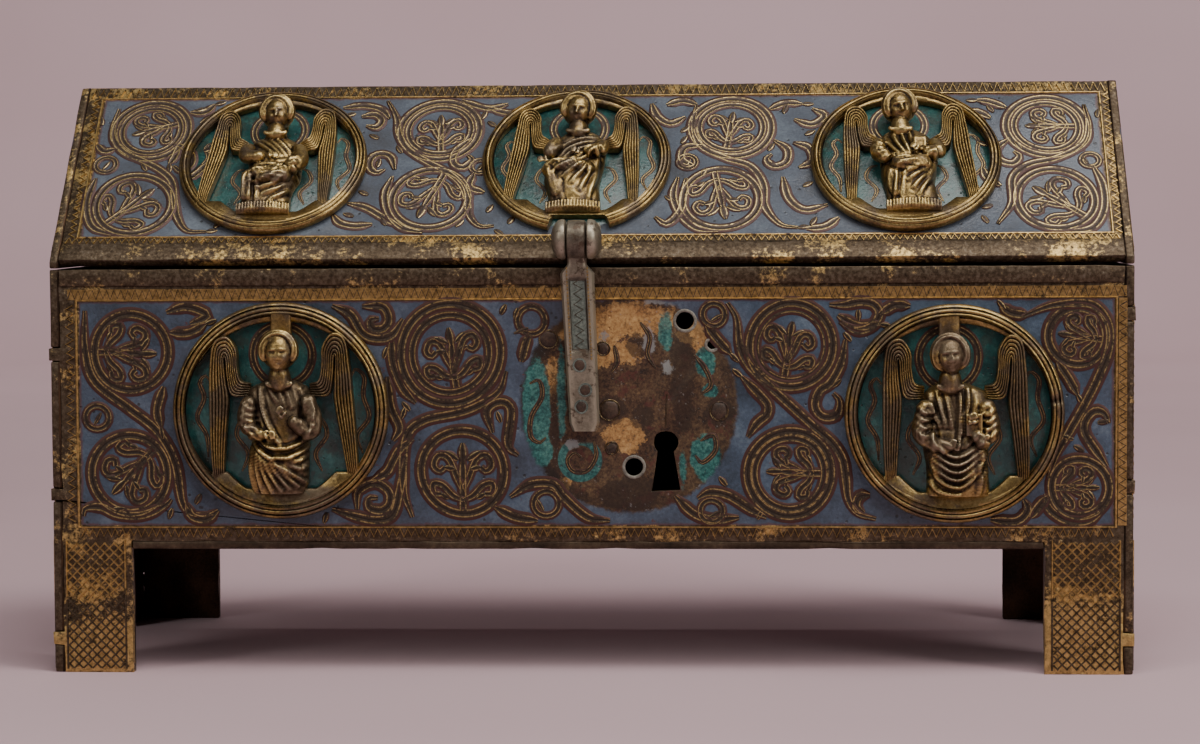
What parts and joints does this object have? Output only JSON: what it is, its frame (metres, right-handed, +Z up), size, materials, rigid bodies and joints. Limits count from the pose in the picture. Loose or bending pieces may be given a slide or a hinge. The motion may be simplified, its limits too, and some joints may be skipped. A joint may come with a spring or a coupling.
{
  "type": "reliquary casket",
  "caption": "House-shaped enamelled and gilt copper casket on four legs, with a hinged roof lid, openwork figure medallions and a hanging hasp.",
  "frame": {"origin": "On the surface the casket stands on, below the middle of its bounding box.", "axes": "+X along the casket to the viewer's right as one faces its front, +Y from front to back, +Z up."},
  "size_m": [0.3, 0.1295, 0.1644],
  "materials": {
    "enamelled_copper": "champleve enamel in grey-blue between worn gilt lines",
    "gilt_copper": "gilt copper, worn brown on the heights",
    "bare_copper": "bare aged copper",
    "hinge_metal": "dark worn metal with traces of gilding"
  },
  "bodies": {
    "box": {"front_plate": "enamelled_copper", "back_plate": "enamelled_copper", "left_end_plate": "enamelled_copper", "right_end_plate": "enamelled_copper", "floor_plate": "bare_copper", "rim_strip": "gilt_copper", "medallion_front_left": "gilt_copper", "medallion_front_right": "gilt_copper", "hinge_leaf_left": "hinge_metal", "hinge_leaf_right": "hinge_metal", "hinge_pin_left": "hinge_metal", "hinge_pin_right": "hinge_metal"},
    "lid": {"lid_front_plate": "enamelled_copper", "lid_back_plate": "enamelled_copper", "lid_top_plate": "enamelled_copper", "lid_left_end": "enamelled_copper", "lid_right_end": "enamelled_copper", "medallion_lid_left": "gilt_copper", "medallion_lid_centre": "gilt_copper", "medallion_lid_right": "gilt_copper", "hasp_bracket": "hinge_metal", "hasp_pin": "hinge_metal", "hinge_strap_left": "hinge_metal", "hinge_strap_right": "hinge_metal"},
    "hasp": {"hasp_arm": "hinge_metal"}
  },
  "joints": [
    {"name": "lid_hinge", "type": "hinge", "parent": "box", "child": "lid", "pos_m": [0, 0.06165, 0.1135], "axis": [-1, 0, 0], "range_deg": [0, 105]},
    {"name": "hasp_hinge", "type": "hinge", "parent": "lid", "child": "hasp", "pos_m": [-0.0026, -0.05815, 0.1203], "axis": [-1, 0, 0], "range_deg": [0, 150]}
  ]
}
